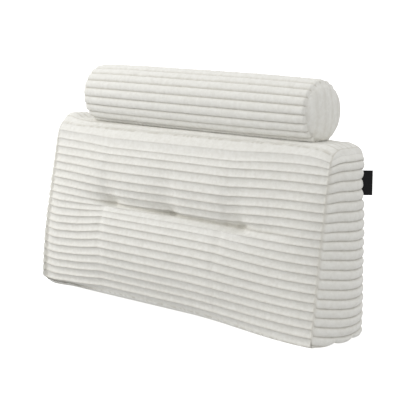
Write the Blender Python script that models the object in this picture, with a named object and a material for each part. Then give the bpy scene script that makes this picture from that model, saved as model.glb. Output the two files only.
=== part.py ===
"""Wedge pillow with a neck bolster, sewn from wide-wale corduroy.

Metres, +Z up. The wedge stands on its base, its leaning front face towards -Y,
and the bolster lies along its narrow top. The origin is the middle of the
base's box, on the surface that the base rests on.
"""
import math

import bmesh
import bpy
import numpy as np

# Wedge
WIDTH = 1.000
HEIGHT = 0.500
BASE_DEPTH = 0.215
LEAN = 0.155
TOP_RADIUS = 0.050
BACK_RADIUS = 0.030
BASE_RADIUS = 0.008

# Corduroy: raised wales with a narrow valley between two of them
WALES_FRONT = 22
WALES_TOP = 6
WALE_HEIGHT = 0.0042
WALE_SAMPLES = ((0.0, 0.0), (0.28, 1.0), (0.72, 1.0))

# Tufting
TUFT_X = (-0.247, -0.020, 0.232)
TUFT_DEPTH = 0.006
TUFT_RADIUS = 0.026
TUFT_WALES = 0.8
CREASE_DEPTH = 0.017
CREASE_WALES = (1.1, 0.5)
CHANNEL_X = (-0.264, 0.211)
CHANNEL_LEANS = (0.0, 0.046)
CHANNEL_DEPTH = 0.004
CHANNEL_WIDTH = 0.016
HOLLOW_DEPTH = 0.013
HOLLOW_WIDTHS = (0.052, 0.034)
HOLLOW_WALES = (4.5, 0.7)

# The crease through the tufts: the wale it runs along, and its share of the full depth
CREASE_LINE = (
    {"x": -0.36, "wale": 9.0, "depth": 0.00},
    {"x": -0.29, "wale": 9.1, "depth": 0.30},
    {"x": -0.247, "wale": 9.2, "depth": 1.00},
    {"x": -0.18, "wale": 9.3, "depth": 0.70},
    {"x": -0.10, "wale": 9.5, "depth": 0.90},
    {"x": -0.02, "wale": 9.6, "depth": 1.20},
    {"x": 0.05, "wale": 9.8, "depth": 0.80},
    {"x": 0.14, "wale": 9.9, "depth": 0.95},
    {"x": 0.232, "wale": 10.0, "depth": 1.20},
    {"x": 0.28, "wale": 10.0, "depth": 0.55},
    {"x": 0.36, "wale": 10.0, "depth": 0.35},
    {"x": 0.43, "wale": 10.0, "depth": 0.00},
)

# Front face by wale, counted from the top edge. roll is how far it swells out
# between the outer tufts; left, middle and right are how far the cloth is drawn up.
FRONT_ROLLS = (
    {"wale": 0, "roll": 0.000, "left": -0.006, "middle": -0.008, "right": -0.006},
    {"wale": 1, "roll": 0.010, "left": -0.006, "middle": -0.015, "right": -0.006},
    {"wale": 3.5, "roll": 0.028, "left": -0.009, "middle": -0.013, "right": -0.005},
    {"wale": 6, "roll": 0.034, "left": -0.012, "middle": -0.020, "right": -0.007},
    {"wale": 8, "roll": 0.028, "left": -0.014, "middle": -0.021, "right": -0.007},
    {"wale": 9, "roll": 0.025, "left": -0.014, "middle": -0.020, "right": -0.007},
    {"wale": 10, "roll": 0.024, "left": -0.014, "middle": -0.009, "right": -0.005},
    {"wale": 11, "roll": 0.028, "left": -0.014, "middle": -0.001, "right": -0.003},
    {"wale": 12, "roll": 0.034, "left": -0.015, "middle": 0.004, "right": -0.002},
    {"wale": 13.5, "roll": 0.039, "left": -0.016, "middle": 0.006, "right": -0.002},
    {"wale": 16, "roll": 0.040, "left": -0.018, "middle": 0.003, "right": -0.003},
    {"wale": 18, "roll": 0.031, "left": -0.018, "middle": 0.000, "right": -0.002},
    {"wale": 20, "roll": 0.014, "left": -0.017, "middle": -0.001, "right": 0.000},
    {"wale": 22, "roll": 0.000, "left": -0.013, "middle": 0.001, "right": 0.000},
)

# Stretch of the front that the tufts draw in, and the plain stretches beside it
PULL_START = (-0.47, -0.264)
PULL_END = (0.42, 0.211)
PULL_END_LEAN = 0.046
TOE_START = (-0.60, -0.40)
TOE_END = (0.46, 0.05)
PLAIN_CROWN = 0.026
TOE_IN = 0.022
TOE_LIFTS = (0.016, 0.001)
TOE_RADIUS = 0.026
TOE_CORNER_LIFT = 0.019
TOE_CORNER_WIDTH = 0.030
SWELL_WIDTH = 0.050

# Top, back and side panels
BACK_CROWN = 0.016
BACK_SAG = 0.012
TOP_HOLLOW_DEPTH = 0.005
TOP_HOLLOW_HALF_LENGTH = 0.445
TOP_DROOPS = (0.002, 0.018)
TOP_BACK_DROOPS = (0.002, 0.018)
DROOP_WIDTHS = (0.020, 0.032)
TOP_BUMPS = (0.017, 0.000)
TOP_BUMP_X = 0.494
TOP_BUMP_WIDTH = 0.048
TOP_CORNER_WALES = 1.8
TOP_CORNER_SHARE = 0.25
BASE_BOW = 0.022
BASE_LIP_WALES = (3.4, 1.0)
BOW_WIDTH = 0.020
SEAM_IN = 0.003
SEAM_WIDTH = 0.006
SEAM_FLATTENS = 0.5
SIDE_CROWNS = (0.028, 0.018)
SIDE_SEAM_RISE = 0.001
SIDE_SAG = 0.010
SIDE_FRONT_SHIFT = (0.005, 0.020)
SIDE_BACK_SHIFT = (0.002, 0.024)
LEFT_BOW = 0.013
LEFT_BOW_WIDTH = 0.060

# Columns of points across the wedge: through the tufts, and close by the seams
COLUMNS = (-0.500, -0.494, -0.478, -0.440, -0.375, -0.310, TUFT_X[0], -0.187, -0.130, -0.073,
           TUFT_X[1], 0.041, 0.104, 0.168, TUFT_X[2], 0.290, 0.350, 0.420, 0.452, 0.478, 0.494, 0.500)

# Bolster
BOLSTER_LEFT = -0.399
BOLSTER_RIGHT = 0.409
BOLSTER_HALF_DEPTH = 0.082
BOLSTER_HALF_HEIGHTS = (0.088, 0.086)
BOLSTER_PRESS = 0.012
BOLSTER_Y = 0.052
BOLSTER_PHASE = 0.65
BOLSTER_SAMPLES = ((0.0, 0.0), (0.22, 0.9), (0.5, 1.0), (0.78, 0.9))
WALES_ROUND = 21
WALES_DISC = 6
DISC_CROWN = 0.011
DISC_RIM = 0.010
DISC_RIM_WIDTH = 0.008
DISC_WALE_SHARE = 0.3
BOLSTER_COLUMNS = 12
BOLSTER_MARGINS = (0.008, 0.032)
BOLSTER_WAIST = 0.004

# Side label, a folded woven tab
LABEL_OUT = 0.021
LABEL_HEIGHT = 0.063
LABEL_THICKNESS = 0.0024
LABEL_SEAT = 0.0034
LABEL_TURN = math.radians(40.0)
LABEL_Z = 0.389

GAP = 0.0003
TANGENT_STEP = 0.002
CONTACT_SLOPE = -0.010

COLOURS = {
    "wedge_cushion": (0.86, 0.84, 0.80),
    "neck_bolster": (0.87, 0.85, 0.81),
    "side_label": (0.02, 0.02, 0.022),
}


def clear_scene():
    for old in list(bpy.data.objects):
        bpy.data.objects.remove(old)


def smooth_step(value, start, end):
    """0 before start, 1 after end, and a soft change between them."""
    part = np.clip((value - start) / (end - start), 0.0, 1.0)
    return part * part * (3.0 - 2.0 * part)


def bend(value, start, end):
    """0 before start, then ever steeper up to 1 at end, where the cloth bends sharply."""
    return float(np.clip((value - start) / (end - start), 0.0, 1.0)) ** 1.6


def bell(distance, width):
    return np.exp(-(distance / width) ** 2)


def contact_z(x):
    """Height of the line on which the bolster rests, a little lower towards the right."""
    return HEIGHT - TOP_HOLLOW_DEPTH + CONTACT_SLOPE * x


def wale_rows(wales, samples=WALE_SAMPLES):
    """Positions along a panel, in wales, and the raise of the cloth at each."""
    rows = []
    for wale in range(wales):
        for place, raised in samples:
            rows.append((wale + place, raised))
    rows.append((wales, 0.0))
    return rows


def rounded_outline(corners, radii, steps=10):
    """A closed polygon with round corners, and the index of each corner's middle."""
    points = []
    middles = []
    count = len(corners)
    for index in range(count):
        corner = np.array(corners[index])
        before = np.array(corners[index - 1]) - corner
        after = np.array(corners[(index + 1) % count]) - corner
        before /= np.linalg.norm(before)
        after /= np.linalg.norm(after)
        half = math.acos(float(np.clip(before @ after, -1.0, 1.0))) / 2.0
        radius = radii[index]
        centre = corner + (before + after) / np.linalg.norm(before + after) * radius / math.sin(half)
        start = corner + before * radius / math.tan(half) - centre
        end = corner + after * radius / math.tan(half) - centre
        start_angle = math.atan2(start[1], start[0])
        turn = math.atan2(end[1], end[0]) - start_angle
        turn = (turn + math.pi) % (2.0 * math.pi) - math.pi
        middles.append(len(points) + steps // 2)
        for step in range(steps + 1):
            angle = start_angle + turn * step / steps
            points.append(centre + radius * np.array([math.cos(angle), math.sin(angle)]))
    return np.array(points), middles


def run_between(points, first, last, shares):
    """Points and outward normals at the given shares of the way between two corners."""
    order = list(range(first, last + 1)) if last > first else list(range(first, last + len(points) + 1))
    path = points[np.array(order) % len(points)]
    length = np.concatenate([[0.0], np.cumsum(np.linalg.norm(np.diff(path, axis=0), axis=1))])
    wanted = np.array(shares) * length[-1]
    place = np.stack([np.interp(wanted, length, path[:, axis]) for axis in range(2)], axis=1)
    ahead = np.stack([np.interp(wanted + TANGENT_STEP, length, path[:, axis]) for axis in range(2)], axis=1)
    behind = np.stack([np.interp(wanted - TANGENT_STEP, length, path[:, axis]) for axis in range(2)], axis=1)
    along = ahead - behind
    along /= np.linalg.norm(along, axis=1)[:, None]
    return place, np.stack([along[:, 1], -along[:, 0]], axis=1), along


def plateau(x, start, end):
    """1 across the middle, with a soft change at each of the two ends."""
    return smooth_step(x, *start) * smooth_step(-x, -end[0], -end[1])


def swell(x):
    """The filling's push, which fades at the two side seams."""
    return 1.0 - math.exp(-max(WIDTH / 2.0 - abs(x), 0.0) / SWELL_WIDTH)


def between_ends(x, ends):
    """A value that changes evenly from the left end to the right end."""
    return ends[0] + (ends[1] - ends[0]) * (x / WIDTH + 0.5)


def left_bow(x, wale):
    """How far the left end of the front bulges sideways, lower down."""
    down = math.sin(math.pi * (wale / WALES_FRONT) ** 1.4)
    return LEFT_BOW * down * math.exp(-(x + WIDTH / 2.0) / LEFT_BOW_WIDTH)


def seam_inset(x):
    return SEAM_IN * math.exp(-(WIDTH / 2.0 - abs(x)) / SEAM_WIDTH)


def wale_raise(x):
    """Height of the wales, which the stitching presses down at the side seams."""
    return WALE_HEIGHT * (1.0 - SEAM_FLATTENS * math.exp(-(WIDTH / 2.0 - abs(x)) / SEAM_WIDTH))


def front_field(x, wale):
    """Outward swell and upward gather of the front at a width and a wale."""
    wales = [row["wale"] for row in FRONT_ROLLS]
    roll = np.interp(wale, wales, [row["roll"] for row in FRONT_ROLLS])
    left, middle, right = (np.interp(wale, wales, [row[side] for row in FRONT_ROLLS])
                           for side in ("left", "middle", "right"))
    plain = PLAIN_CROWN * math.sin(math.pi * wale / WALES_FRONT)
    after_left = bend(x, *PULL_START)
    before_right = bend(-x, -PULL_END[0], PULL_END_LEAN * wale / WALES_FRONT - PULL_END[1])
    drawn = after_left * before_right
    gather = drawn * middle + (1.0 - after_left) * left + (1.0 - before_right) * right
    out = swell(x) * (drawn * roll + (1.0 - drawn) * plain)
    stops = [row["x"] for row in CREASE_LINE]
    below = wale - np.interp(x, stops, [row["wale"] for row in CREASE_LINE])
    share = np.interp(x, stops, [row["depth"] for row in CREASE_LINE])
    lower = int(below > 0.0)
    out -= CREASE_DEPTH * share * bell(below, CREASE_WALES[lower])
    for tuft in TUFT_X:
        hollow = bell(x - tuft, HOLLOW_WIDTHS[int(x > tuft)])
        out -= HOLLOW_DEPTH * hollow * bell(below, HOLLOW_WALES[lower])
        out -= TUFT_DEPTH * bell(x - tuft, TUFT_RADIUS) * bell(below, TUFT_WALES)
    for channel, lean in zip(CHANNEL_X, CHANNEL_LEANS):
        beside = x - channel + lean * wale / WALES_FRONT
        out -= CHANNEL_DEPTH * bell(beside, CHANNEL_WIDTH) * math.sin(math.pi * wale / WALES_FRONT)
    return out, gather


def wedge_section(x, rows, columns):
    """The closed section of the wedge at x: its front, base, back and top runs."""
    toe = plateau(x, TOE_START, TOE_END)
    inset = seam_inset(x)
    height = wale_raise(x)
    to_end = WIDTH / 2.0 - abs(x)
    side = int(x > 0.0)
    bump = TOP_BUMPS[side] * bell(abs(x) - TOP_BUMP_X, TOP_BUMP_WIDTH)
    droop = math.exp(-to_end / DROOP_WIDTHS[side])
    corner_lift = TOE_CORNER_LIFT * math.exp(-(x + WIDTH / 2.0) / TOE_CORNER_WIDTH)
    toe_lift = between_ends(x, TOE_LIFTS)
    lip_wales = between_ends(x, BASE_LIP_WALES)
    front_foot = (-BASE_DEPTH / 2.0 + TOE_IN * toe + inset, toe_lift * toe + corner_lift)
    front_top = (-BASE_DEPTH / 2.0 + LEAN * HEIGHT + inset, HEIGHT)
    back_top = (BASE_DEPTH / 2.0 - inset, HEIGHT)
    back_foot = (BASE_DEPTH / 2.0 - inset, 0.0)
    corners = (front_top, front_foot, back_foot, back_top)
    radii = (TOP_RADIUS, BASE_RADIUS + TOE_RADIUS * toe, BASE_RADIUS, BACK_RADIUS)
    outline, middles = rounded_outline(corners, radii)
    row_shares = [place / WALES_FRONT for place, raised in rows]
    column_shares = [place / WALES_TOP for place, raised in columns]
    front, front_out, front_down = run_between(outline, middles[0], middles[1], row_shares)
    base, base_out, base_on = run_between(outline, middles[1], middles[2], column_shares)
    back, back_out, back_up = run_between(outline, middles[2], middles[3], row_shares)
    top, top_out, top_on = run_between(outline, middles[3], middles[0], column_shares)
    back, back_out, back_up = back[::-1], back_out[::-1], back_up[::-1]
    top, top_out = top[::-1], top_out[::-1]
    runs = {"front": [], "base": [], "back": [], "top": []}
    for index, (wale, raised) in enumerate(rows):
        out, gather = front_field(x, wale)
        point = front[index] + front_out[index] * (out + height * raised)
        near_top = bell(wale, TOP_CORNER_WALES)
        raise_by = (bump * TOP_CORNER_SHARE - droop * TOP_DROOPS[side]) * near_top
        runs["front"].append(point - front_down[index] * gather + (0.0, raise_by))
        fade = math.sin(math.pi * wale / WALES_FRONT)
        point = back[index] + back_out[index] * (BACK_CROWN * fade * swell(x) + height * raised)
        raise_by = (bump * TOP_CORNER_SHARE - droop * TOP_BACK_DROOPS[side]) * near_top
        runs["back"].append(point - back_up[index] * BACK_SAG * fade + (0.0, raise_by))
    for index, (wale, raised) in enumerate(columns):
        point = top[index] + top_out[index] * height * raised
        inward = smooth_step(min(wale, WALES_TOP - wale), 0.0, 2.0)
        point[1] += bump * (TOP_CORNER_SHARE + (1.0 - TOP_CORNER_SHARE) * inward)
        point[1] -= droop * (TOP_DROOPS[side] + (TOP_BACK_DROOPS[side] - TOP_DROOPS[side]) * wale / WALES_TOP)
        if abs(x) < TOP_HOLLOW_HALF_LENGTH:
            point[1] = min(point[1], contact_z(x) - GAP)
        runs["top"].append(point)
        lip = max(1.0 - wale / lip_wales, 0.0)
        runs["base"].append(np.array([base[index][0], base[index][1] * lip]))
    for name in ("front", "back"):
        for point in runs[name]:
            point[1] = max(point[1], 0.0)
    runs["front"][0] = runs["top"][0]
    runs["back"][0] = runs["top"][-1]
    runs["base"][0] = runs["front"][-1]
    runs["base"][-1] = runs["back"][-1]
    return runs


def quad_sheet(bm, lines):
    """Faces between each pair of neighbouring lines of vertices."""
    for line, following in zip(lines, lines[1:]):
        for index in range(len(line) - 1):
            bm.faces.new((line[index], line[index + 1], following[index + 1], following[index]))


def fill_panel(bm, top, base, front, back, rows, columns, place_point):
    """A panel sewn into four edges; place_point moves each inner point off the plain fill."""
    corners = [corner.co for corner in (top[0], top[-1], base[0], base[-1])]
    lines = [list(top)]
    for row in range(1, len(front) - 1):
        down = rows[row]
        line = [front[row]]
        for column in range(1, len(top) - 1):
            across = columns[column]
            point = front[row].co * (1.0 - across) + back[row].co * across
            point = point + top[column].co * (1.0 - down) + base[column].co * down
            point = point - (corners[0] * (1.0 - across) + corners[1] * across) * (1.0 - down)
            point = point - (corners[2] * (1.0 - across) + corners[3] * across) * down
            line.append(bm.verts.new(place_point(point, row, column, down, across)))
        line.append(back[row])
        lines.append(line)
    lines.append(list(base))
    quad_sheet(bm, lines)


def dome(down, across):
    """1 in the middle of a panel and 0 along its edges."""
    return (1.0 - (2.0 * down - 1.0) ** 6) * (1.0 - (2.0 * across - 1.0) ** 2)


def finish_object(bm, name):
    bmesh.ops.remove_doubles(bm, verts=bm.verts, dist=0.00001)
    bmesh.ops.recalc_face_normals(bm, faces=bm.faces)
    mesh = bpy.data.meshes.new(name)
    bm.to_mesh(mesh)
    bm.free()
    mesh.shade_smooth()
    part = bpy.data.objects.new(name, mesh)
    bpy.context.collection.objects.link(part)
    material = bpy.data.materials.new(name)
    material.use_nodes = True
    surface = material.node_tree.nodes["Principled BSDF"]
    surface.inputs["Base Color"].default_value = (*COLOURS[name], 1.0)
    surface.inputs["Roughness"].default_value = 0.95
    surface.inputs["Metallic"].default_value = 0.0
    mesh.materials.append(material)
    return part


def wedge_cushion():
    rows = wale_rows(WALES_FRONT)
    columns = wale_rows(WALES_TOP)
    bm = bmesh.new()
    edges = {"front": [], "base": [], "back": [], "top": []}
    for x in COLUMNS:
        section = wedge_section(x, rows, columns)
        made = {}
        for name, points in section.items():
            made[name] = [bm.verts.new((x, y, z)) for y, z in points]
        bow = math.copysign(BASE_BOW * math.exp(-(WIDTH / 2.0 - abs(x)) / BOW_WIDTH), x)
        for vert, (place, raised) in zip(made["base"], columns):
            vert.co.x += bow * (1.0 - (2.0 * place / WALES_TOP - 1.0) ** 2)
        for vert, (wale, raised) in zip(made["front"], rows):
            vert.co.x -= left_bow(x, wale)
        made["front"][0] = made["top"][0]
        made["back"][0] = made["top"][-1]
        made["base"][0] = made["front"][-1]
        made["base"][-1] = made["back"][-1]
        for name, verts in made.items():
            edges[name].append(verts)
    for lines in edges.values():
        quad_sheet(bm, lines)
    downs = [place / WALES_FRONT for place, raised in rows]
    acrosses = [place / WALES_TOP for place, raised in columns]
    for end, side, crown in ((0, -1.0, SIDE_CROWNS[0]), (-1, 1.0, SIDE_CROWNS[1])):
        def place_point(point, row, column, down, across):
            bulge = SIDE_SEAM_RISE + crown * dome(down, across) + WALE_HEIGHT * rows[row][1]
            front_shift = SIDE_FRONT_SHIFT[0] + (SIDE_FRONT_SHIFT[1] - SIDE_FRONT_SHIFT[0]) * down
            back_shift = SIDE_BACK_SHIFT[0] + (SIDE_BACK_SHIFT[1] - SIDE_BACK_SHIFT[0]) * down
            shift = front_shift * (1.0 - across) + back_shift * across
            shift += SIDE_SAG * down * (1.0 - (2.0 * across - 1.0) ** 2)
            drop = shift * math.sin(math.pi * down) ** 0.5
            return (point.x + side * bulge, point.y, max(point.z - drop, 0.0))
        fill_panel(bm, edges["top"][end], edges["base"][end], edges["front"][end],
                   edges["back"][end], downs, acrosses, place_point)
    loose = [vert for vert in bm.verts if not vert.link_faces]
    bmesh.ops.delete(bm, geom=loose, context="VERTS")
    return finish_object(bm, "wedge_cushion")


def bolster_ring(x):
    """One ring of the bolster: a soft oval, flat where it lies on the wedge."""
    near_end = min(x - BOLSTER_LEFT, BOLSTER_RIGHT - x)
    inset = SEAM_IN * math.exp(-near_end / SEAM_WIDTH)
    middle = (BOLSTER_LEFT + BOLSTER_RIGHT) / 2.0
    half_height = float(np.interp(x, (BOLSTER_LEFT, BOLSTER_RIGHT), BOLSTER_HALF_HEIGHTS))
    inset += BOLSTER_WAIST * ((x - middle) / (BOLSTER_RIGHT - middle)) ** 4
    points = []
    for place, raised in wale_rows(WALES_ROUND, BOLSTER_SAMPLES)[:-1]:
        angle = 2.0 * math.pi * (place + BOLSTER_PHASE) / WALES_ROUND
        reach = WALE_HEIGHT * (raised - 1.0) - inset
        y = BOLSTER_Y + (BOLSTER_HALF_DEPTH + reach) * math.cos(angle)
        z = contact_z(x) + half_height - BOLSTER_PRESS + (half_height + reach) * math.sin(angle)
        points.append((x, y, max(z, contact_z(x))))
    return points


def neck_bolster():
    bm = bmesh.new()
    near, far = BOLSTER_MARGINS
    inner = list(np.linspace(BOLSTER_LEFT + far, BOLSTER_RIGHT - far, BOLSTER_COLUMNS + 1))
    stations = [BOLSTER_LEFT, BOLSTER_LEFT + near] + inner + [BOLSTER_RIGHT - near, BOLSTER_RIGHT]
    rings = [[bm.verts.new(point) for point in bolster_ring(x)] for x in stations]
    quad_sheet(bm, [ring + ring[:1] for ring in rings])
    across_steps = WALES_DISC * len(BOLSTER_SAMPLES)
    around = len(rings[0])
    down_steps = around // 2 - across_steps
    disc_rows = [step / down_steps for step in range(down_steps + 1)]
    disc_columns = [place / WALES_DISC for place, raised in wale_rows(WALES_DISC, BOLSTER_SAMPLES)]
    raises = [raised for place, raised in wale_rows(WALES_DISC, BOLSTER_SAMPLES)]
    first = down_steps // 2 - round(BOLSTER_PHASE * len(BOLSTER_SAMPLES))
    for end, side in ((0, -1.0), (-1, 1.0)):
        ring = rings[end]
        turned = [ring[(first + step) % around] for step in range(around + 1)]
        top = turned[:across_steps + 1]
        front = turned[across_steps:across_steps + down_steps + 1]
        base = turned[across_steps + down_steps:2 * across_steps + down_steps + 1]
        back = turned[2 * across_steps + down_steps:]

        def place_point(point, row, column, down, across):
            from_rim = min((point - vert.co).length for vert in ring)
            rim = 1.0 - math.exp(-from_rim / DISC_RIM_WIDTH)
            crown = 1.0 - (1.0 - min(from_rim / BOLSTER_HALF_DEPTH, 1.0)) ** 2
            bulge = rim * (DISC_RIM + DISC_WALE_SHARE * WALE_HEIGHT * raises[column]) + DISC_CROWN * crown
            return (point.x + side * bulge, point.y, point.z)
        fill_panel(bm, top[::-1], base, front, back[::-1], disc_rows, disc_columns, place_point)
    return finish_object(bm, "neck_bolster")


def side_label():
    """A folded tab, standing out of the rear right seam."""
    bm = bmesh.new()
    bmesh.ops.create_cube(bm, size=1.0)
    bmesh.ops.scale(bm, vec=(LABEL_OUT, LABEL_THICKNESS, LABEL_HEIGHT), verts=bm.verts)
    fold = [edge for edge in bm.edges if all(vert.co.x > 0.0 for vert in edge.verts)
            and abs(edge.verts[0].co.z - edge.verts[1].co.z) > LABEL_HEIGHT / 2.0]
    bmesh.ops.bevel(bm, geom=fold, offset=LABEL_THICKNESS * 0.49, segments=3, affect="EDGES")
    bmesh.ops.translate(bm, vec=(LABEL_OUT / 2.0 + LABEL_SEAT, 0.0, 0.0), verts=bm.verts)
    label = finish_object(bm, "side_label")
    label.location = (WIDTH / 2.0, BASE_DEPTH / 2.0 - SEAM_IN, LABEL_Z)
    label.rotation_euler = (0.0, 0.0, LABEL_TURN)
    return label


clear_scene()
wedge_cushion()
neck_bolster()
side_label()
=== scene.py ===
"""Looks of the corduroy wedge pillow and its neck bolster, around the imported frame.

Metres, +Z up. The leaning front face looks towards -Y.
"""
import math

import bmesh
import bpy
import numpy as np
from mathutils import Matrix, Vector, noise


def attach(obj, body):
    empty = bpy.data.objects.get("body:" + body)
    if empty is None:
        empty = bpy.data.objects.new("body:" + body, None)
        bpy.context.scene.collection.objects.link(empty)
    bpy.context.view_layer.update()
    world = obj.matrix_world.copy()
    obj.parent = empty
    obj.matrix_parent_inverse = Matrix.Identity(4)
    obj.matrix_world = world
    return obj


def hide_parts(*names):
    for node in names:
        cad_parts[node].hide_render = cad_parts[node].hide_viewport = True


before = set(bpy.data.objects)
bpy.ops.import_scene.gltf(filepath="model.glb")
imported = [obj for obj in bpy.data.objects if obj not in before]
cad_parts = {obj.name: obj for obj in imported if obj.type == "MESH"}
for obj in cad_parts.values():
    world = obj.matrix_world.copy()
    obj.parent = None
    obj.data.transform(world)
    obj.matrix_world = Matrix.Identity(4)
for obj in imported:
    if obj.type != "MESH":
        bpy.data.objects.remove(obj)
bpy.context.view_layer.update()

# Wedge: its form is that of the solids, its wales are taller
WIDTH = 1.000
HEIGHT = 0.500
BASE_DEPTH = 0.215
LEAN = 0.155
TOP_RADIUS = 0.050
BACK_RADIUS = 0.030
BASE_RADIUS = 0.008
WALES_FRONT = 22
WALES_TOP = 6
WALE_HEIGHT = 0.0072
WALE_POWERS = (2.1, 0.60)
SOFT_LUMPS = {"share": 0.16, "size": 0.045}
FINE_LUMPS = {"share": 0.12, "size": 0.014}

# Tufting
TUFT_X = (-0.247, -0.020, 0.232)
TUFT_DEPTH = 0.007
TUFT_RADIUS = 0.016
TUFT_WALES = 0.7
CREASE_DEPTH = 0.017
CREASE_WALES_ABOVE = 1.10
CREASE_WALES_BELOW = 0.45
# painted shade along the crease through the tufts: how much it darkens, how far above the crease line it
# is centred in wales, and its reach in wales
CREASE_SHADE = 0.85
CREASE_SHADE_RISE = 0.06
CREASE_SHADE_WALES = 0.20
TIGHT_WALES = (1.3, 1.3)
TIGHT_SHARE = 0.55
TOP_TIGHT_SHARE = 0.50
TOP_TIGHT_WALES = 2.2
CHANNEL_X = (-0.264, 0.211)
CHANNEL_LEANS = (0.0, 0.046)
CHANNEL_DEPTH = 0.004
CHANNEL_WIDTH = 0.012
HOLLOW_DEPTH = 0.013
HOLLOW_WIDTHS = (0.052, 0.034)
HOLLOW_WALES = (4.5, 0.6)

# The crease through the tufts: the wale it runs along, and its share of the full depth
CREASE_LINE = (
    {"x": -0.36, "wale": 9.0, "depth": 0.00},
    {"x": -0.29, "wale": 9.1, "depth": 0.30},
    {"x": -0.247, "wale": 9.2, "depth": 1.00},
    {"x": -0.18, "wale": 9.3, "depth": 0.70},
    {"x": -0.10, "wale": 9.5, "depth": 0.90},
    {"x": -0.02, "wale": 9.6, "depth": 1.20},
    {"x": 0.05, "wale": 9.8, "depth": 0.80},
    {"x": 0.14, "wale": 9.9, "depth": 0.95},
    {"x": 0.232, "wale": 10.0, "depth": 1.20},
    {"x": 0.28, "wale": 10.0, "depth": 0.55},
    {"x": 0.36, "wale": 10.0, "depth": 0.35},
    {"x": 0.43, "wale": 10.0, "depth": 0.00},
)

# Front face by wale, counted from the top edge. roll is how far it swells out
# between the outer tufts; left, middle and right are how far the cloth is drawn up.
FRONT_ROLLS = (
    {"wale": 0, "roll": 0.000, "left": -0.006, "middle": -0.008, "right": -0.006},
    {"wale": 1, "roll": 0.010, "left": -0.006, "middle": -0.015, "right": -0.006},
    {"wale": 3.5, "roll": 0.028, "left": -0.009, "middle": -0.013, "right": -0.005},
    {"wale": 6, "roll": 0.034, "left": -0.012, "middle": -0.020, "right": -0.007},
    {"wale": 8, "roll": 0.028, "left": -0.014, "middle": -0.021, "right": -0.007},
    {"wale": 9, "roll": 0.025, "left": -0.014, "middle": -0.020, "right": -0.007},
    {"wale": 10, "roll": 0.024, "left": -0.014, "middle": -0.009, "right": -0.005},
    {"wale": 11, "roll": 0.028, "left": -0.014, "middle": -0.001, "right": -0.003},
    {"wale": 12, "roll": 0.034, "left": -0.015, "middle": 0.004, "right": -0.002},
    {"wale": 13.5, "roll": 0.039, "left": -0.016, "middle": 0.006, "right": -0.002},
    {"wale": 16, "roll": 0.040, "left": -0.018, "middle": 0.003, "right": -0.003},
    {"wale": 18, "roll": 0.031, "left": -0.018, "middle": 0.000, "right": -0.002},
    {"wale": 20, "roll": 0.014, "left": -0.017, "middle": -0.001, "right": 0.000},
    {"wale": 22, "roll": 0.000, "left": -0.013, "middle": 0.001, "right": 0.000},
)

# Stretch of the front that the tufts draw in, and the plain stretches beside it
PULL_START = (-0.47, -0.264)
PULL_END = (0.42, 0.211)
PULL_END_LEAN = 0.046
PULL_POWER = 1.6
TOE_START = (-0.60, -0.40)
TOE_END = (0.46, 0.05)
PLAIN_CROWN = 0.026
TOE_IN = 0.022
TOE_LIFTS = (0.014, 0.000)
TOE_RADIUS = 0.026
TOE_CORNER_LIFT = 0.019
TOE_CORNER_WIDTH = 0.030
SWELL_WIDTH = 0.050

# Top, back and side panels
BACK_CROWN = 0.016
BACK_SAG = 0.012
TOP_HOLLOW_DEPTH = 0.005
TOP_HOLLOW_START = (-0.474, -0.427)
TOP_HOLLOW_END = (0.474, 0.445)
TOP_DROOPS = (0.002, 0.018)
TOP_BACK_DROOPS = (0.002, 0.018)
DROOP_WIDTHS = (0.020, 0.032)
TOP_BUMPS = (0.017, 0.000)
TOP_BUMP_X = 0.494
TOP_BUMP_WIDTH = 0.048
TOP_CORNER_WALES = 1.8
TOP_CORNER_SHARE = 0.25
TOP_CORNER_REACH = 0.075
TOP_CORNER_SMOOTH = 0.95
BASE_BOW = 0.022
BASE_LUMPS = 3
BASE_SCALLOP = 0.006
BASE_NOTCH = 0.007
BASE_NOTCH_FULL = 0.4
BASE_NOTCH_REACH = 0.014
BASE_LIP_WALES = (4.4, 1.2)
BOW_WIDTH = 0.020
SEAM_IN = 0.003
SEAM_WIDTH = 0.003
WALE_END = 0.0018
# painted shade in a thin line along every seam: its strength and width
SEAM_SHADE = 0.8
SEAM_LINE = 0.0026
SIDE_SEAM_REACH = 0.0030
SIDE_CROWNS = (0.028, 0.018)
SIDE_CROWN_POWER = 6
SIDE_SAG = 0.010
SIDE_SEAM_RISE = 0.001
SIDE_FRONT_SHIFT = (0.005, 0.020)
SIDE_BACK_SHIFT = (0.002, 0.027)
SIDE_PHASE = 0.25
SIDE_TOP_WALES = (0.4, 2.2)
LEFT_BOW = 0.013
LEFT_BOW_WIDTH = 0.060
LEFT_BOW_POWER = 1.4

# Bolster
BOLSTER_LEFT = -0.399
BOLSTER_RIGHT = 0.409
BOLSTER_HALF_DEPTH = 0.082
BOLSTER_HALF_HEIGHTS = (0.088, 0.086)
BOLSTER_PRESS = 0.012
BOLSTER_Y = 0.052
BOLSTER_WAIST = 0.004
WALES_ROUND = 21
BOLSTER_PHASE = 0.65
WALES_DISC = 6
DISC_CROWN = 0.011
DISC_RIM = 0.010
DISC_RIM_WIDTH = 0.0045
DISC_PUFF = 0.0015
DISC_WALE_HEIGHT = 0.0011
# painted shade in the end discs' valleys: the value in a valley, and its rise to a crest
DISC_WALE_SHADES = (0.55, 0.45)
DISC_LUMPS = {"height": 0.0012, "size": 0.03}
BOLSTER_CLOTH_RADIUS = 0.075

# Label tab
LABEL_OUT = 0.0285
LABEL_HEIGHT = 0.063
LABEL_THICKNESS = 0.0024
LABEL_PLY = 0.96 * LABEL_OUT
LABEL_SWAY = 0.0009
LABEL_SWAY_OUT = 2.4
LABEL_SWAY_UP = 38.0
LABEL_SHARP = math.radians(50.0)
LABEL_SEAT = -0.0041
LABEL_DRAW = 0.008
LABEL_DRAW_WIDTH = 0.040
LABEL_DRAW_HEIGHT = 0.050
LABEL_TURN = math.radians(40.0)
LABEL_Z = 0.389

# Where the bolster meets the wedge
GAP = 0.0003
CONTACT_SLOPE = -0.010

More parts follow.
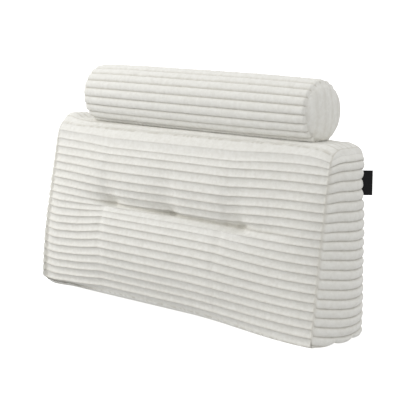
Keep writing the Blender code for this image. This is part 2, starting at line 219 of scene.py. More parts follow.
# Fineness of the cloth meshes, and the step that directions are taken over
SAMPLES_PER_WALE = 8
SIDE_STEPS_PER_WALE = 12
VALLEY_CROWDING = 0.07
WEDGE_COLUMNS = 134
BOLSTER_COLUMNS = 116
NEAR_SEAM = (0.0, 0.0012, 0.0026, 0.0044, 0.0068, 0.0100, 0.0145, 0.0205)
MERGE_DISTANCE = 0.00002
TANGENT_STEP = 0.002

# Camera, solved from the photograph's straight seams
CAMERA_LOOK_AT = (0.0675, 0.0, 0.29)
CAMERA_AZIMUTH = math.radians(42.372)
CAMERA_ELEVATION = math.radians(9.197)
CAMERA_DISTANCE = 3.4057
CAMERA_FOCAL_PIXELS = 1262.8
IMAGE_SIDE = 416
SENSOR_WIDTH = 36.0

# Cloth colours: the ivory of the crests, and a darker, browner ivory that is painted shade in the
# valleys, the crease and along the seams
IVORY_CREST = (0.85, 0.842, 0.80)
IVORY_PAINTED_SHADE = (0.675, 0.655, 0.595)

# Floor and soft studio light
FLOOR_RADIUS = 60.0
RIM_HEIGHT = 2.5
RIM_STEPS = 8
FLOOR_STEPS = 96
FLOOR_DROP = 0.0004
FLOOR_GLOW = 0.62
RIM_GLOW = 0.50
SKY_STRENGTH = 0.565
CEILING_STRENGTH = 1.00
CEILING_SPREAD = math.radians(170.0)
LAMP_POWER = 24.2
LAMP_SIZE = 1.4
LAMP_PLACE = (-2.10, -1.40, 1.45)
LAMP_AIM = (0.0, -0.10, 0.30)


def smooth_step(value, start, end):
    """0 before start, 1 after end, and a soft change between them."""
    part = np.clip((value - start) / (end - start), 0.0, 1.0)
    return part * part * (3.0 - 2.0 * part)


def bend(value, start, end):
    """0 before start, then ever steeper up to 1 at end, where the cloth bends sharply."""
    return np.clip((value - start) / (end - start), 0.0, 1.0) ** PULL_POWER


def bell(distance, width):
    """1 at no distance, falling softly to nearly 0 at twice the width."""
    return np.exp(-(distance / width) ** 2)


def plateau(x, start, end):
    """1 across the middle, with a soft change at each of the two ends."""
    return smooth_step(x, *start) * smooth_step(-x, -end[0], -end[1])


def soft_curve(value, places, heights):
    """A smooth curve through a few heights, in cubic pieces that share their slopes."""
    places = np.array(places, float)
    heights = np.array(heights, float)
    slopes = np.gradient(heights, places)
    index = np.clip(np.searchsorted(places, value) - 1, 0, len(places) - 2)
    span = places[index + 1] - places[index]
    part = np.clip((value - places[index]) / span, 0.0, 1.0)
    square, cube = part ** 2, part ** 3
    return (heights[index] * (2.0 * cube - 3.0 * square + 1.0)
            + slopes[index] * span * (cube - 2.0 * square + part)
            + heights[index + 1] * (3.0 * square - 2.0 * cube)
            + slopes[index + 1] * span * (cube - square))


def contact_z(x):
    """Height of the line on which the bolster rests, a little lower towards the right."""
    return HEIGHT - TOP_HOLLOW_DEPTH + CONTACT_SLOPE * x


def wale_profile(place):
    """Height across the wales, 0 in the narrow valleys and 1 on the round crests."""
    from_crest = np.abs(2.0 * (place - np.floor(place)) - 1.0)
    return (1.0 - from_crest ** WALE_POWERS[0]) ** WALE_POWERS[1]


def wale_places(wales):
    """Where a panel's rows of points lie, in wales, closer together in the valleys."""
    even = np.arange(wales * SAMPLES_PER_WALE + 1) / SAMPLES_PER_WALE
    return even - VALLEY_CROWDING * np.sin(2.0 * math.pi * even)


def rounded_outline(corners, radii, steps=16):
    """A closed polygon with round corners, and the index of each corner's middle."""
    points = []
    middles = []
    count = len(corners)
    for index in range(count):
        corner = np.array(corners[index])
        before = np.array(corners[index - 1]) - corner
        after = np.array(corners[(index + 1) % count]) - corner
        before /= np.linalg.norm(before)
        after /= np.linalg.norm(after)
        half = math.acos(float(np.clip(before @ after, -1.0, 1.0))) / 2.0
        radius = radii[index]
        inward = (before + after) / np.linalg.norm(before + after)
        centre = corner + inward * radius / math.sin(half)
        start = corner + before * radius / math.tan(half) - centre
        end = corner + after * radius / math.tan(half) - centre
        start_angle = math.atan2(start[1], start[0])
        turn = math.atan2(end[1], end[0]) - start_angle
        turn = (turn + math.pi) % (2.0 * math.pi) - math.pi
        middles.append(len(points) + steps // 2)
        for step in range(steps + 1):
            angle = start_angle + turn * step / steps
            points.append(centre + radius * np.array([math.cos(angle), math.sin(angle)]))
    return np.array(points), middles


def run_between(points, first, last, shares):
    """Points, outward normals and travel directions at shares of the way between two corners."""
    if last <= first:
        last += len(points)
    path = points[np.arange(first, last + 1) % len(points)]
    length = np.concatenate([[0.0], np.cumsum(np.linalg.norm(np.diff(path, axis=0), axis=1))])
    wanted = np.array(shares) * length[-1]
    place, ahead, behind = (
        np.stack([np.interp(wanted + step, length, path[:, axis]) for axis in range(2)], axis=1)
        for step in (0.0, TANGENT_STEP, -TANGENT_STEP))
    along = ahead - behind
    along /= np.linalg.norm(along, axis=1)[:, None]
    return place, np.stack([along[:, 1], -along[:, 0]], axis=1), along


def to_end(x):
    """Distance from the nearer side seam."""
    return np.maximum(WIDTH / 2.0 - np.abs(x), 0.0)


def crease_at(x, measure):
    """The crease's wale or its share of depth, at one width or at many."""
    return np.interp(x, [row["x"] for row in CREASE_LINE], [row[measure] for row in CREASE_LINE])


def front_field(x, wales):
    """Outward swell and upward gather of the front at a width, for every row."""
    places = [row["wale"] for row in FRONT_ROLLS]
    roll = soft_curve(wales, places, [row["roll"] for row in FRONT_ROLLS])
    left, middle, right = (soft_curve(wales, places, [row[side] for row in FRONT_ROLLS])
                           for side in ("left", "middle", "right"))
    plain = PLAIN_CROWN * np.sin(math.pi * wales / WALES_FRONT)
    after_left = bend(x, *PULL_START)
    before_right = bend(-x, -PULL_END[0], PULL_END_LEAN * wales / WALES_FRONT - PULL_END[1])
    drawn = after_left * before_right
    gather = drawn * middle + (1.0 - after_left) * left + (1.0 - before_right) * right
    swell = 1.0 - math.exp(-to_end(x) / SWELL_WIDTH)
    out = swell * (drawn * roll + (1.0 - drawn) * plain)
    below = wales - crease_at(x, "wale")
    share = crease_at(x, "depth")
    reach = np.where(below < 0.0, CREASE_WALES_ABOVE, CREASE_WALES_BELOW)
    out -= CREASE_DEPTH * share * bell(below, reach)
    for tuft in TUFT_X:
        out -= TUFT_DEPTH * bell(x - tuft, TUFT_RADIUS) * bell(below, TUFT_WALES)
        width = HOLLOW_WIDTHS[int(x > tuft)]
        hollow = np.where(below < 0.0, bell(below, HOLLOW_WALES[0]), bell(below, HOLLOW_WALES[1]))
        out -= HOLLOW_DEPTH * bell(x - tuft, width) * hollow
    for channel, lean in zip(CHANNEL_X, CHANNEL_LEANS):
        beside = x - channel + lean * wales / WALES_FRONT
        out -= CHANNEL_DEPTH * bell(beside, CHANNEL_WIDTH) * np.sin(math.pi * wales / WALES_FRONT)
    return out, gather


def wedge_section(x, wales, columns):
    """The closed section of the wedge at x, without wales: points and outward normals by run."""
    toe = plateau(x, TOE_START, TOE_END)
    inset = SEAM_IN * math.exp(-to_end(x) / SEAM_WIDTH)
    corner_lift = TOE_CORNER_LIFT * math.exp(-(x + WIDTH / 2.0) / TOE_CORNER_WIDTH)
    toe_lift = TOE_LIFTS[0] + (TOE_LIFTS[1] - TOE_LIFTS[0]) * (x / WIDTH + 0.5)
    front_foot = (-BASE_DEPTH / 2.0 + TOE_IN * toe + inset, toe_lift * toe + corner_lift)
    front_top = (-BASE_DEPTH / 2.0 + LEAN * HEIGHT + inset, HEIGHT)
    back_top = (BASE_DEPTH / 2.0 - inset, HEIGHT)
    back_foot = (BASE_DEPTH / 2.0 - inset, 0.0)
    corners = (front_top, front_foot, back_foot, back_top)
    radii = (TOP_RADIUS, BASE_RADIUS + TOE_RADIUS * toe, BASE_RADIUS, BACK_RADIUS)
    outline, middles = rounded_outline(corners, radii)
    rows = wales / WALES_FRONT
    across = columns / WALES_TOP
    front, front_out, down = run_between(outline, middles[0], middles[1], rows)
    base, base_out, base_on = run_between(outline, middles[1], middles[2], across)
    back, back_out, up = run_between(outline, middles[2], middles[3], rows)
    top, top_out, top_on = run_between(outline, middles[3], middles[0], across)
    back, back_out, up = back[::-1], back_out[::-1], up[::-1]
    top, top_out = top[::-1], top_out[::-1]
    out, gather = front_field(x, wales)
    fade = np.sin(math.pi * wales / WALES_FRONT)
    swell = 1.0 - math.exp(-to_end(x) / SWELL_WIDTH)
    front = front + front_out * out[:, None] - down * gather[:, None]
    lip_wales = BASE_LIP_WALES[0] + (BASE_LIP_WALES[1] - BASE_LIP_WALES[0]) * (x / WIDTH + 0.5)
    base[:, 1] *= np.clip(1.0 - columns / lip_wales, 0.0, 1.0)
    back = back + back_out * (BACK_CROWN * fade * swell)[:, None] - up * (BACK_SAG * fade)[:, None]
    side = int(x > 0.0)
    bump = TOP_BUMPS[side] * bell(abs(x) - TOP_BUMP_X, TOP_BUMP_WIDTH)
    edge = np.minimum(columns, WALES_TOP - columns)
    top[:, 1] += bump * (TOP_CORNER_SHARE + (1.0 - TOP_CORNER_SHARE) * smooth_step(edge, 0.0, 2.0))
    droop = math.exp(-to_end(x) / DROOP_WIDTHS[side])
    top[:, 1] -= droop * (TOP_DROOPS[side] + (TOP_BACK_DROOPS[side] - TOP_DROOPS[side]) * across)
    near_top = bell(wales, TOP_CORNER_WALES)
    front[:, 1] += (bump * TOP_CORNER_SHARE - droop * TOP_DROOPS[side]) * near_top
    back[:, 1] += (bump * TOP_CORNER_SHARE - droop * TOP_BACK_DROOPS[side]) * near_top
    return {"front": front, "back": back, "base": base, "top": top}


def grid_normals(points):
    """Unit normals of a grid of points, by the directions of its two lines."""
    one = np.gradient(points, axis=0)
    two = np.gradient(points, axis=1)
    normal = np.cross(one, two)
    return normal / np.maximum(np.linalg.norm(normal, axis=2), 1e-12)[:, :, None]


def lumps(points, size, seed):
    """Soft unevenness from -1 to 1, the same each run."""
    shift = Vector((seed * 13.7, seed * 7.1, seed * 3.3))
    flat = points.reshape(-1, 3) / size
    values = [noise.noise(Vector(point) + shift) for point in flat]
    return np.array(values).reshape(points.shape[:2])


def uneven(ridges, points, seed):
    """Wales made uneven by soft lumps and by fine ones."""
    ridges = ridges * (1.0 + SOFT_LUMPS["share"] * lumps(points, SOFT_LUMPS["size"], seed))
    return ridges + FINE_LUMPS["share"] * lumps(points, FINE_LUMPS["size"], seed + 1.0)


def drawn_by_label(grid):
    """Points near the label move in, where its stitching draws the rear seam."""
    aside = np.hypot(grid[:, :, 0] - WIDTH / 2.0, grid[:, :, 1] - BASE_DEPTH / 2.0)
    share = bell(aside, LABEL_DRAW_WIDTH) * bell(grid[:, :, 2] - LABEL_Z, LABEL_DRAW_HEIGHT)
    moved = grid.copy()
    moved[:, :, 0] -= LABEL_DRAW * share
    return moved


class Cloth:
    """Vertices and faces of one sewn cover, gathered panel by panel."""

    def __init__(self):
        self.points = []
        self.faces = []
        self.uvs = []
        self.crests_and_shades = []

    def add(self, points, crests_and_shades, along, across):
        """Adds a grid of points with their crest values: 0 in the valleys and 1 on the wales, lower where
        shade is painted.

        along and across are its cloth measures in metres.
        """
        first = sum(len(block) for block in self.points)
        rows, columns = points.shape[:2]
        self.points.append(points.reshape(-1, 3))
        self.crests_and_shades.append(crests_and_shades.reshape(-1))
        for row in range(rows - 1):
            start = first + row * columns
            for column in range(columns - 1):
                corner = start + column
                self.faces.append((corner, corner + 1, corner + columns + 1, corner + columns))
        self.uvs.append(np.stack([along, across], axis=2).reshape(-1, 2))

    def build(self, name, material):
        """One closed piece of all the grids, joined at their seams."""
        mesh = bpy.data.meshes.new(name)
        points = np.concatenate(self.points)
        mesh.from_pydata(points.tolist(), [], self.faces)
        uvs = np.concatenate(self.uvs)
        layer = mesh.uv_layers.new(name="cloth")
        corner_points = np.empty(len(mesh.loops), dtype=np.int32)
        mesh.loops.foreach_get("vertex_index", corner_points)
        layer.data.foreach_set("uv", uvs[corner_points].reshape(-1).astype(np.float32))
        # the crest values are kept as a point attribute, which the material turns into painted shade
        attribute = mesh.attributes.new("crest_and_shade", "FLOAT", "POINT")
        attribute.data.foreach_set("value", np.concatenate(self.crests_and_shades).astype(np.float32))
        bm = bmesh.new()
        bm.from_mesh(mesh)
        bmesh.ops.remove_doubles(bm, verts=bm.verts, dist=MERGE_DISTANCE)
        bmesh.ops.recalc_face_normals(bm, faces=bm.faces)
        bm.to_mesh(mesh)
        bm.free()
        mesh.shade_smooth()
        mesh.materials.append(material)
        piece = bpy.data.objects.new(name, mesh)
        bpy.context.collection.objects.link(piece)
        return piece


def coons(front, back, top, base, rows, columns):
    """A grid filled in between four edges."""
    down = rows[:, None, None]
    across = columns[None, :, None]
    grid = front[:, None, :] * (1.0 - across) + back[:, None, :] * across
    grid = grid + top[None, :, :] * (1.0 - down) + base[None, :, :] * down
    grid = grid - (top[0] * (1.0 - across) + top[-1] * across) * (1.0 - down)
    return grid - (base[0] * (1.0 - across) + base[-1] * across) * down


def side_wales(wales, ways):
    """The side panel's own wale at each point of its grid, and how far down each point lies.

    Away from the seams the rows of points follow the panel's own wales.
    """
    down = np.linspace(0.0, WALES_FRONT, SIDE_STEPS_PER_WALE * WALES_FRONT + 1)
    share = down[:, None] / WALES_FRONT
    front_shift = SIDE_FRONT_SHIFT[0] + (SIDE_FRONT_SHIFT[1] - SIDE_FRONT_SHIFT[0]) * share
    back_shift = SIDE_BACK_SHIFT[0] + (SIDE_BACK_SHIFT[1] - SIDE_BACK_SHIFT[0]) * share
    shift = front_shift * (1.0 - ways) + back_shift * ways
    shift = shift + SIDE_SAG * share * (1.0 - (2.0 * ways - 1.0) ** 2)
    own = down[:, None] - shift * WALES_FRONT / HEIGHT + SIDE_PHASE
    places_down = np.empty((len(wales), len(ways)))
    at = np.empty_like(places_down)
    for column in range(len(ways)):
        follow = min(column, len(ways) - 1 - column, 1)
        aligned = np.interp(wales, own[:, column], down)
        aligned[0], aligned[-1] = 0.0, WALES_FRONT
        places_down[:, column] = wales * (1.0 - follow) + aligned * follow
        at[:, column] = np.interp(places_down[:, column], down, own[:, column])
    return at, places_down


def between_seams(left, right, count):
    """Columns of points between two seams, much closer together near them."""
    near = np.array(NEAR_SEAM)
    inner = np.linspace(left + near[-1], right - near[-1], count + 1)
    return np.concatenate([left + near[:-1], inner, right - near[:-1][::-1]])


def wedge_cover(material):
    """The wedge's cover: wrap and two side panels, with wales, tufts and drawn-in seams."""
    wales = wale_places(WALES_FRONT)
    columns = wale_places(WALES_TOP)
    widths = between_seams(-WIDTH / 2.0, WIDTH / 2.0, WEDGE_COLUMNS)
    runs = {"front": [], "base": [], "back": [], "top": []}
    for x in widths:
        for name, points in wedge_section(x, wales, columns).items():
            runs[name].append(np.column_stack([np.full(len(points), x), points]))
    runs = {name: np.array(lines) for name, lines in runs.items()}
    left_bow = LEFT_BOW * np.exp(-(widths + WIDTH / 2.0) / LEFT_BOW_WIDTH)
    down_bow = np.sin(math.pi * (wales / WALES_FRONT) ** LEFT_BOW_POWER)
    runs["front"][:, :, 0] -= left_bow[:, None] * down_bow[None, :]
    bow = np.copysign(BASE_BOW * np.exp(-to_end(widths) / BOW_WIDTH), widths)
    bow_share = 1.0 - (2.0 * columns / WALES_TOP - 1.0) ** 2
    runs["base"][:, :, 0] += bow[:, None] * bow_share[None, :]
    ripple = np.zeros((len(columns), 3))
    lump = wale_profile(columns * BASE_LUMPS / WALES_TOP)
    ripple[:, 0] = BASE_SCALLOP * (lump - 0.5) * bow_share
    ripple[:, 2] = BASE_NOTCH * (1.0 - lump) * smooth_step(bow_share, 0.0, BASE_NOTCH_FULL)
    raise_x = 1.0 - np.exp(-(to_end(widths) / WALE_END) ** 2)
    places = {"front": wales, "back": wales, "top": columns, "base": columns}
    below = wales[None, :] - crease_at(widths, "wale")[:, None]
    share = crease_at(widths, "depth")[:, None]
    tight = bell(below - TIGHT_WALES[0], TIGHT_WALES[1]) * np.clip(share, 0.0, 1.0)
    stretched = 1.0 - TIGHT_SHARE * tight - TOP_TIGHT_SHARE * bell(wales, TOP_TIGHT_WALES)[None, :]
    # painted shade along the crease
    shaded = 1.0 - CREASE_SHADE * share * bell(below + CREASE_SHADE_RISE, CREASE_SHADE_WALES)
    signs = {"front": 1.0, "back": -1.0, "top": -1.0, "base": 1.0}
    cloth = Cloth()
    for name, grid in runs.items():
        place = places[name]
        out = grid_normals(grid) * signs[name]
        ridges = uneven(wale_profile(place)[None, :] * raise_x[:, None], grid, 1.0)
        if name == "top":
            smooth = TOP_CORNER_SMOOTH * bell(to_end(widths), TOP_CORNER_REACH)
            ridges = ridges * (1.0 - smooth)[:, None]
        if name == "front":
            ridges = ridges * stretched
        if name != "base":
            grid = grid + out * (ridges * WALE_HEIGHT)[:, :, None]
        if name == "top":
            hollow = plateau(widths, TOP_HOLLOW_START, TOP_HOLLOW_END)[:, None]
            capped = np.minimum(grid[:, :, 2], contact_z(widths)[:, None] - GAP)
            grid[:, :, 2] += hollow * (capped - grid[:, :, 2])
        grid[:, :, 2] = np.maximum(grid[:, :, 2], 0.0)
        if name == "base":
            near = np.exp(-(to_end(widths) / BASE_NOTCH_REACH) ** 2)
            flat_base = grid.copy()
            for axis, sign in ((0, np.sign(widths)), (2, 1.0)):
                grid[:, :, axis] += (near * sign)[:, None] * ripple[None, :, axis]
        runs[name] = grid
    runs["top"][:, 0] = runs["front"][:, 0]
    runs["back"][:, 0] = runs["top"][:, -1]
    runs["base"][:, 0] = runs["front"][:, -1]
    runs["base"][:, -1] = runs["back"][:, -1]
    flat_base[:, 0] = runs["front"][:, -1]
    flat_base[:, -1] = runs["back"][:, -1]
    pitch = HEIGHT / WALES_FRONT
    for name, grid in runs.items():
        along = np.repeat(widths[:, None], grid.shape[1], axis=1)
        across = np.repeat(places[name][None, :] * pitch, len(widths), axis=0)
        # painted shade in the wrap's wale valleys; none on the base
        crest_and_shade = np.repeat(wale_profile(places[name])[None, :], len(widths), axis=0)
        if name == "base":
            crest_and_shade = np.ones_like(crest_and_shade)
        if name == "front":
            # painted shade: the valley shade thins where the wales are drawn tight, and the crease's
            # painted shade is laid over it
            crest_and_shade = (1.0 - (1.0 - crest_and_shade) * stretched) * shaded
        # painted shade in a thin line along the side seams
        crest_and_shade = crest_and_shade * (1.0 - SEAM_SHADE * bell(to_end(widths), SEAM_LINE))[:, None]
        cloth.add(drawn_by_label(grid), crest_and_shade, along, across)
    for end, side, crown in ((0, -1.0, SIDE_CROWNS[0]), (-1, 1.0, SIDE_CROWNS[1])):
        ways = columns / WALES_TOP
        own, places_down = side_wales(wales, ways)
        grid = coons(runs["front"][end], runs["back"][end], runs["top"][end], flat_base[end],
                     wales / WALES_FRONT, ways)
        for column in range(len(ways)):
            for axis in range(3):
                grid[:, column, axis] = np.interp(places_down[:, column], wales, grid[:, column, axis])
        near_base = smooth_step(places_down, WALES_FRONT - 1.0, WALES_FRONT)
        grid += near_base[:, :, None] * (runs["base"][end] - flat_base[end])[None, :, :]
        rows = places_down / WALES_FRONT
        dome = 1.0 - (2.0 * rows - 1.0) ** SIDE_CROWN_POWER
        dome = dome * (1.0 - (2.0 * ways - 1.0) ** 2)[None, :]
        from_edge = np.minimum(ways, 1.0 - ways)[None, :] * BASE_DEPTH
        from_edge = np.minimum(from_edge, np.minimum(rows, 1.0 - rows) * HEIGHT)
        inner = 1.0 - np.exp(-from_edge / SIDE_SEAM_REACH)
        fade = smooth_step(places_down, *SIDE_TOP_WALES)
        ridges = uneven(wale_profile(own) * fade, grid, 3.0)
        # painted shade in the side panel's valleys, fading out towards its top
        crest_and_shade = 1.0 - (1.0 - wale_profile(own)) * fade
        # painted shade in a thin line along the panel's seams
        crest_and_shade = crest_and_shade * (1.0 - SEAM_SHADE * bell(from_edge, SEAM_LINE))
        grid[:, :, 0] += side * (SIDE_SEAM_RISE * inner + crown * dome + WALE_HEIGHT * ridges * inner)
        grid[:, :, 2] = np.maximum(grid[:, :, 2], 0.0)
        along = np.repeat((ways * BASE_DEPTH)[None, :], len(wales), axis=0)
        across = own * pitch
        cloth.add(drawn_by_label(grid), crest_and_shade, along, across)
    return cloth.build("wedge_cover", material)


def bolster_cover(material):
    """The bolster's cover: a tube of wales, drawn in where the two end discs are sewn on."""
    steps = SAMPLES_PER_WALE
    places = wale_places(WALES_ROUND)
    angles = 2.0 * math.pi * (places + BOLSTER_PHASE) / WALES_ROUND
    middle = (BOLSTER_LEFT + BOLSTER_RIGHT) / 2.0
    widths = between_seams(BOLSTER_LEFT, BOLSTER_RIGHT, BOLSTER_COLUMNS)
    near_end = np.minimum(widths - BOLSTER_LEFT, BOLSTER_RIGHT - widths)
    inset = SEAM_IN * np.exp(-near_end / SEAM_WIDTH)
    inset = inset + BOLSTER_WAIST * ((widths - middle) / (BOLSTER_RIGHT - middle)) ** 4
    half_height = np.interp(widths, (BOLSTER_LEFT, BOLSTER_RIGHT), BOLSTER_HALF_HEIGHTS)
    cosines, sines = np.cos(angles)[None, :], np.sin(angles)[None, :]
    ones = np.ones_like(widths)[:, None]
    circle = np.stack([np.repeat(widths[:, None], len(angles), axis=1),
                       BOLSTER_HALF_DEPTH * cosines * ones,
                       BOLSTER_HALF_DEPTH * sines * ones], axis=2)
    ridges = uneven(wale_profile(places)[None, :], circle, 5.0)
    ridges[:, -1] = ridges[:, 0]
    ridges = ridges * (1.0 - np.exp(-(near_end / WALE_END) ** 2))[:, None]
    reach = WALE_HEIGHT * (ridges - 1.0) - inset[:, None]
    y = BOLSTER_Y + (BOLSTER_HALF_DEPTH + reach) * cosines
    rest = contact_z(widths)[:, None]
    z = rest + half_height[:, None] - BOLSTER_PRESS + (half_height[:, None] + reach) * sines
    tube = np.stack([circle[:, :, 0], y, np.maximum(z, rest)], axis=2)
    tube[:, -1] = tube[:, 0]
    cloth = Cloth()
    around = 2.0 * math.pi * BOLSTER_CLOTH_RADIUS
    along = circle[:, :, 0]
    across = np.repeat((places / WALES_ROUND * around)[None, :], len(widths), axis=0)
    # painted shade in the tube's wale valleys
    crest_and_shade = np.repeat(wale_profile(places)[None, :], len(widths), axis=0)
    cloth.add(tube, crest_and_shade, along, across)
    across_steps = WALES_DISC * steps
    ring_steps = WALES_ROUND * steps
    down_steps = ring_steps // 2 - across_steps
    rows = np.arange(down_steps + 1) / down_steps
    ways = np.arange(across_steps + 1) / across_steps
    first = down_steps // 2 - round(BOLSTER_PHASE * steps)
    for end, side in ((0, -1.0), (-1, 1.0)):
        ring = tube[end][[(first + step) % ring_steps for step in range(ring_steps + 1)]]
        top = ring[:across_steps + 1][::-1]
        front = ring[across_steps:across_steps + down_steps + 1]
        base = ring[across_steps + down_steps:2 * across_steps + down_steps + 1]
        back = ring[2 * across_steps + down_steps:][::-1]
        grid = coons(front, back, top, base, rows, ways)
        from_rim = np.linalg.norm(grid[:, :, None, 1:] - ring[None, None, :, 1:], axis=3).min(axis=2)
        inward = from_rim / DISC_RIM_WIDTH
        puff = 1.0 + DISC_PUFF / BOLSTER_HALF_DEPTH * inward * np.exp(1.0 - inward)
        centre = ring[:-1, 1:].mean(axis=0)
        grid[:, :, 1:] = centre + (grid[:, :, 1:] - centre) * puff[:, :, None]
        grid[:, :, 2] = np.maximum(grid[:, :, 2], contact_z(widths[end]))
        rim = 1.0 - np.exp(-inward)
        crown = 1.0 - (1.0 - from_rim / from_rim.max()) ** 2
        across = (grid[:, :, 1] - BOLSTER_Y) * WALES_DISC / (2.0 * BOLSTER_HALF_DEPTH)
        crest_and_shade = 0.5 + 0.5 * np.cos(2.0 * math.pi * across)
        lumpy = DISC_LUMPS["height"] * lumps(grid, DISC_LUMPS["size"], 7.0)
        grid[:, :, 0] += side * (DISC_CROWN * crown
                                 + rim * (DISC_RIM + DISC_WALE_HEIGHT * crest_and_shade + lumpy))
        # painted shade in the disc's valleys
        shade = DISC_WALE_SHADES[0] + DISC_WALE_SHADES[1] * crest_and_shade
        cloth.add(grid, shade, grid[:, :, 2], grid[:, :, 1])
    return cloth.build("bolster_cover", material)


def add_node(tree, kind, sockets=None, **settings):
    """A new node with its settings, and with the values of its own sockets."""
    node = tree.nodes.new(kind)
    for name, value in settings.items():
        setattr(node, name, value)
    for name, value in (sockets or {}).items():
        node.inputs[name].default_value = value
    return node


def corduroy(name, crest_colour, shade_colour):
    """Plush corduroy: soft pile, faint cross creases, painted shade in the valleys, crease and seams, and
    a little sheen.
    """
    material = bpy.data.materials.new(name)
    material.use_nodes = True
    tree = material.node_tree
    surface = tree.nodes["Principled BSDF"]
    surface.inputs["Roughness"].default_value = 0.92
    surface.inputs["Specular IOR Level"].default_value = 0.25
    surface.inputs["Sheen Weight"].default_value = 0.25
    surface.inputs["Sheen Roughness"].default_value = 0.45
    place = add_node(tree, "ShaderNodeTexCoord")
    crest_and_shade = add_node(tree, "ShaderNodeAttribute", attribute_name="crest_and_shade")
    mottle = add_node(tree, "ShaderNodeTexNoise", {"Scale": 90.0, "Detail": 5.0})
    tree.links.new(place.outputs["Object"], mottle.inputs["Vector"])
    # painted shade: the crest values mix the cloth's ivory with the darker ivory that stands in for shade
    # in the valleys, the crease and the seams
    tones = add_node(tree, "ShaderNodeMix", {"A": (*shade_colour, 1.0), "B": (*crest_colour, 1.0)},
                     data_type="RGBA")
    depth = add_node(tree, "ShaderNodeMapRange", {"From Min": 0.0, "From Max": 0.75})
    tree.links.new(crest_and_shade.outputs["Fac"], depth.inputs["Value"])
    tree.links.new(depth.outputs["Result"], tones.inputs["Factor"])
    shade = add_node(tree, "ShaderNodeMix", {"Factor": 1.0}, data_type="RGBA", blend_type="MULTIPLY")
    ramp = add_node(tree, "ShaderNodeValToRGB")
    ramp.color_ramp.elements[0].position = 0.35
    ramp.color_ramp.elements[0].color = (0.935, 0.930, 0.918, 1.0)
    ramp.color_ramp.elements[1].position = 0.65
    ramp.color_ramp.elements[1].color = (1.0, 1.0, 1.0, 1.0)
    tree.links.new(mottle.outputs["Fac"], ramp.inputs["Fac"])
    tree.links.new(tones.outputs["Result"], shade.inputs["A"])
    tree.links.new(ramp.outputs["Color"], shade.inputs["B"])
    tree.links.new(shade.outputs["Result"], surface.inputs["Base Color"])
    pile = add_node(tree, "ShaderNodeTexNoise", {"Scale": 620.0, "Detail": 4.0})
    tree.links.new(place.outputs["Object"], pile.inputs["Vector"])
    squeeze = add_node(tree, "ShaderNodeMapping", {"Scale": (150.0, 150.0, 45.0)})
    tree.links.new(place.outputs["Object"], squeeze.inputs["Vector"])
    creases = add_node(tree, "ShaderNodeTexNoise", {"Scale": 1.0, "Detail": 3.0})
    tree.links.new(squeeze.outputs["Vector"], creases.inputs["Vector"])
    rough_bump = add_node(tree, "ShaderNodeBump", {"Strength": 0.55, "Distance": 0.0022})
    tree.links.new(creases.outputs["Fac"], rough_bump.inputs["Height"])
    fine_bump = add_node(tree, "ShaderNodeBump", {"Strength": 0.5, "Distance": 0.0005})
    tree.links.new(pile.outputs["Fac"], fine_bump.inputs["Height"])
    tree.links.new(rough_bump.outputs["Normal"], fine_bump.inputs["Normal"])
    tree.links.new(fine_bump.outputs["Normal"], surface.inputs["Normal"])
    return material


def black_tape(name):
    """Woven black tape: fine cross weave, a little gloss on the threads."""
    material = bpy.data.materials.new(name)
    material.use_nodes = True
    tree = material.node_tree
    surface = tree.nodes["Principled BSDF"]
    surface.inputs["Roughness"].default_value = 0.70
    surface.inputs["Specular IOR Level"].default_value = 0.12
    place = add_node(tree, "ShaderNodeTexCoord")
    weave = add_node(tree, "ShaderNodeMath", operation="MULTIPLY")
    for socket, direction in zip(weave.inputs, ("X", "Z")):
        wave = add_node(tree, "ShaderNodeTexWave", {"Scale": 320.0}, bands_direction=direction)
        tree.links.new(place.outputs["Object"], wave.inputs["Vector"])
        tree.links.new(wave.outputs["Fac"], socket)
    tones = add_node(tree, "ShaderNodeMix",
                     {"A": (0.006, 0.006, 0.007, 1.0), "B": (0.022, 0.022, 0.024, 1.0)}, data_type="RGBA")
    tree.links.new(weave.outputs["Value"], tones.inputs["Factor"])
    tree.links.new(tones.outputs["Result"], surface.inputs["Base Color"])
    bump = add_node(tree, "ShaderNodeBump", {"Strength": 0.4, "Distance": 0.0003})
    tree.links.new(weave.outputs["Value"], bump.inputs["Height"])
    tree.links.new(bump.outputs["Normal"], surface.inputs["Normal"])
    return material


def label_tab(material):
    """A folded tape tab: two plies joined by a round outer fold, a little wavy."""
    bm = bmesh.new()
    steps_out, steps_up, steps_fold = 16, 24, 6
    half = LABEL_THICKNESS / 2.0
    profile = []
    for step in range(steps_out + 1):
        profile.append((LABEL_PLY * step / steps_out, -half))
    for step in range(1, steps_fold):
        angle = math.pi * step / steps_fold
        profile.append((LABEL_PLY + half * math.sin(angle), -half * math.cos(angle)))
    for step in range(steps_out + 1):
        profile.append((LABEL_PLY * (1.0 - step / steps_out), half))
    lines = []
    for step in range(steps_up + 1):
        up = LABEL_HEIGHT * (step / steps_up - 0.5)
        line = []
        for out, side in profile:
            share = out / LABEL_OUT
            sway = LABEL_SWAY * share * math.sin(LABEL_SWAY_OUT * share + LABEL_SWAY_UP * up)
            line.append(bm.verts.new((out, side + sway, up)))
        lines.append(line)
    for low, high in zip(lines, lines[1:]):
        for index in range(len(profile) - 1):
            bm.faces.new((low[index], low[index + 1], high[index + 1], high[index]))
        bm.faces.new((low[-1], low[0], high[0], high[-1]))
    bm.faces.new(lines[0])
    bm.faces.new(lines[-1][::-1])
    bmesh.ops.recalc_face_normals(bm, faces=bm.faces)
    mesh = bpy.data.meshes.new("label_tape")
    bm.to_mesh(mesh)
    bm.free()
    mesh.shade_smooth()
    mesh.set_sharp_from_angle(angle=LABEL_SHARP)
    mesh.materials.append(material)
    piece = bpy.data.objects.new("label_tape", mesh)
    piece.location = (WIDTH / 2.0 + LABEL_SEAT * math.cos(LABEL_TURN),
                      BASE_DEPTH / 2.0 - SEAM_IN + LABEL_SEAT * math.sin(LABEL_TURN), LABEL_Z)
    piece.rotation_euler = (0.0, 0.0, LABEL_TURN)
    bpy.context.collection.objects.link(piece)
    return piece


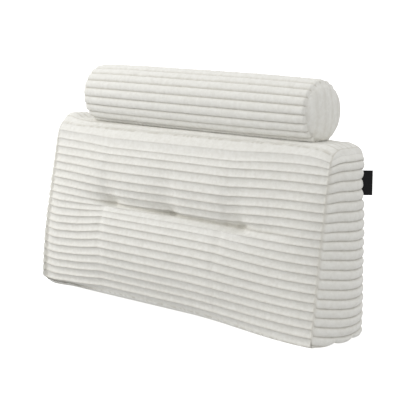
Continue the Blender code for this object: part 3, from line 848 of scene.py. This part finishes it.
def floor_and_light():
    """A wide pale floor whose far rim curves up, an even sky, a bright ceiling and one broad lamp."""
    bm = bmesh.new()
    profile = [bm.verts.new((0.0, 0.0, 0.0)), bm.verts.new((FLOOR_RADIUS, 0.0, 0.0))]
    for step in range(1, RIM_STEPS + 1):
        angle = math.pi / 2.0 * step / RIM_STEPS
        profile.append(bm.verts.new((FLOOR_RADIUS + RIM_HEIGHT * math.sin(angle), 0.0,
                                     RIM_HEIGHT * (1.0 - math.cos(angle)))))
    edges = [bm.edges.new(pair) for pair in zip(profile, profile[1:])]
    bmesh.ops.spin(bm, geom=profile + edges, axis=(0.0, 0.0, 1.0), cent=(0.0, 0.0, 0.0),
                   steps=FLOOR_STEPS, angle=2.0 * math.pi, use_merge=True)
    bmesh.ops.remove_doubles(bm, verts=bm.verts, dist=0.0001)
    bmesh.ops.recalc_face_normals(bm, faces=bm.faces)
    mesh = bpy.data.meshes.new("studio_floor")
    bm.to_mesh(mesh)
    bm.free()
    floor = bpy.data.objects.new("studio_floor", mesh)
    floor.location = (0.0, 0.0, -FLOOR_DROP)
    bpy.context.collection.objects.link(floor)
    for name, glow in (("studio_floor", FLOOR_GLOW), ("studio_rim", RIM_GLOW)):
        material = bpy.data.materials.new(name)
        material.use_nodes = True
        surface = material.node_tree.nodes["Principled BSDF"]
        surface.inputs["Base Color"].default_value = (0.96, 0.96, 0.96, 1.0)
        surface.inputs["Roughness"].default_value = 0.9
        surface.inputs["Emission Color"].default_value = (1.0, 1.0, 1.0, 1.0)
        surface.inputs["Emission Strength"].default_value = glow
        mesh.materials.append(material)
    for face in mesh.polygons:
        face.material_index = int(face.center.z > 0.001)
    floor.visible_diffuse = False
    floor.visible_shadow = False
    world = bpy.data.worlds.new("studio")
    bpy.context.scene.world = world
    world.use_nodes = True
    world.node_tree.nodes["Background"].inputs["Color"].default_value = (1.0, 1.0, 1.0, 1.0)
    world.node_tree.nodes["Background"].inputs["Strength"].default_value = SKY_STRENGTH
    data = bpy.data.lights.new("ceiling", "SUN")
    data.energy = CEILING_STRENGTH
    data.angle = CEILING_SPREAD
    bpy.context.collection.objects.link(bpy.data.objects.new("ceiling", data))
    data = bpy.data.lights.new("lamp", "AREA")
    data.shape = "DISK"
    data.size = LAMP_SIZE
    data.energy = LAMP_POWER
    lamp = bpy.data.objects.new("lamp", data)
    lamp.location = LAMP_PLACE
    lamp.rotation_euler = (Vector(LAMP_PLACE) - Vector(LAMP_AIM)).to_track_quat("Z", "Y").to_euler()
    bpy.context.collection.objects.link(lamp)


def photo_camera():
    """The photograph's viewpoint."""
    back = Vector((math.sin(CAMERA_AZIMUTH) * math.cos(CAMERA_ELEVATION),
                   -math.cos(CAMERA_AZIMUTH) * math.cos(CAMERA_ELEVATION),
                   math.sin(CAMERA_ELEVATION)))
    data = bpy.data.cameras.new("photo_camera")
    data.sensor_width = SENSOR_WIDTH
    data.lens = CAMERA_FOCAL_PIXELS * SENSOR_WIDTH / IMAGE_SIDE
    camera = bpy.data.objects.new("photo_camera", data)
    camera.location = Vector(CAMERA_LOOK_AT) + back * CAMERA_DISTANCE
    camera.rotation_euler = (-back).to_track_quat("-Z", "Y").to_euler()
    bpy.context.collection.objects.link(camera)
    bpy.context.scene.camera = camera


photo_camera()
floor_and_light()
bpy.context.scene.view_settings.view_transform = "Standard"

ivory = corduroy("ivory_corduroy", IVORY_CREST, IVORY_PAINTED_SHADE)
tape = black_tape("black_tape")

wedge = wedge_cover(ivory)
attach(wedge, "root")
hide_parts("wedge_cushion")

bolster = bolster_cover(ivory)
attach(bolster, "root")
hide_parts("neck_bolster")

label = label_tab(tape)
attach(label, "root")
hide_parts("side_label")
